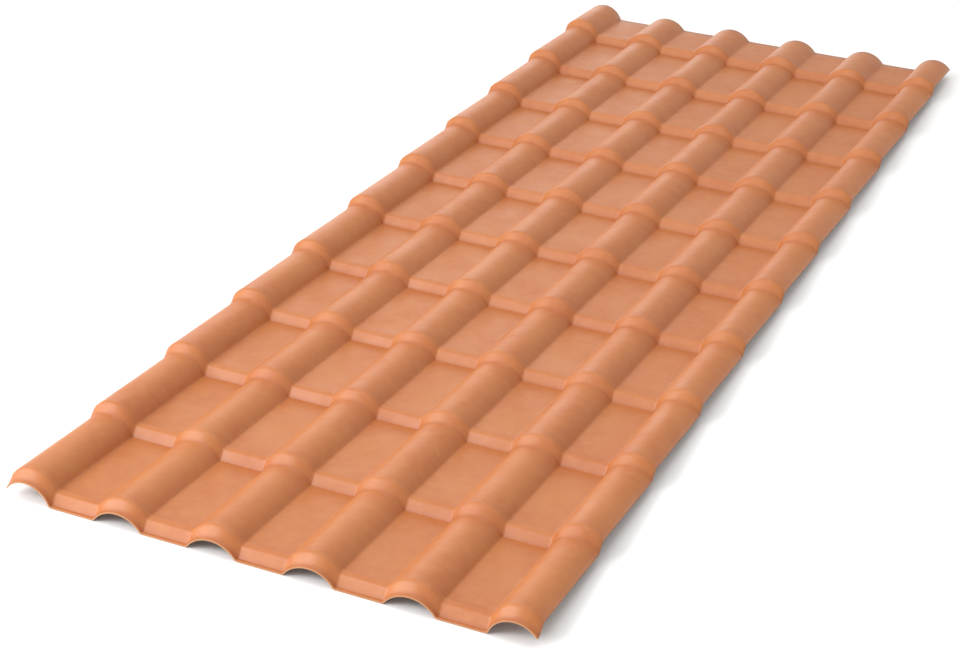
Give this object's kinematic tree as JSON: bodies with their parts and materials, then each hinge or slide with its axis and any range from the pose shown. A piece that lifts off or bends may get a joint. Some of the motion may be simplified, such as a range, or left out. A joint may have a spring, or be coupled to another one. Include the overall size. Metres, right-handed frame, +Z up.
{
  "type": "pvc roof sheet",
  "caption": "Long plastic roof sheet with round ridges, flat pans and pressed tile steps across it.",
  "frame": {"origin": "on the floor under the middle of the sheet, as it lies ridges up", "axes": "+X across the ridges, +Y up the sheet from the eaves end to the upper end, +Z up"},
  "size_m": [0.87, 2.36, 0.0485],
  "materials": {
    "roof_sheet": "satin"
  },
  "bodies": {
    "root": {"roof_sheet": "roof_sheet"}
  },
  "joints": []
}
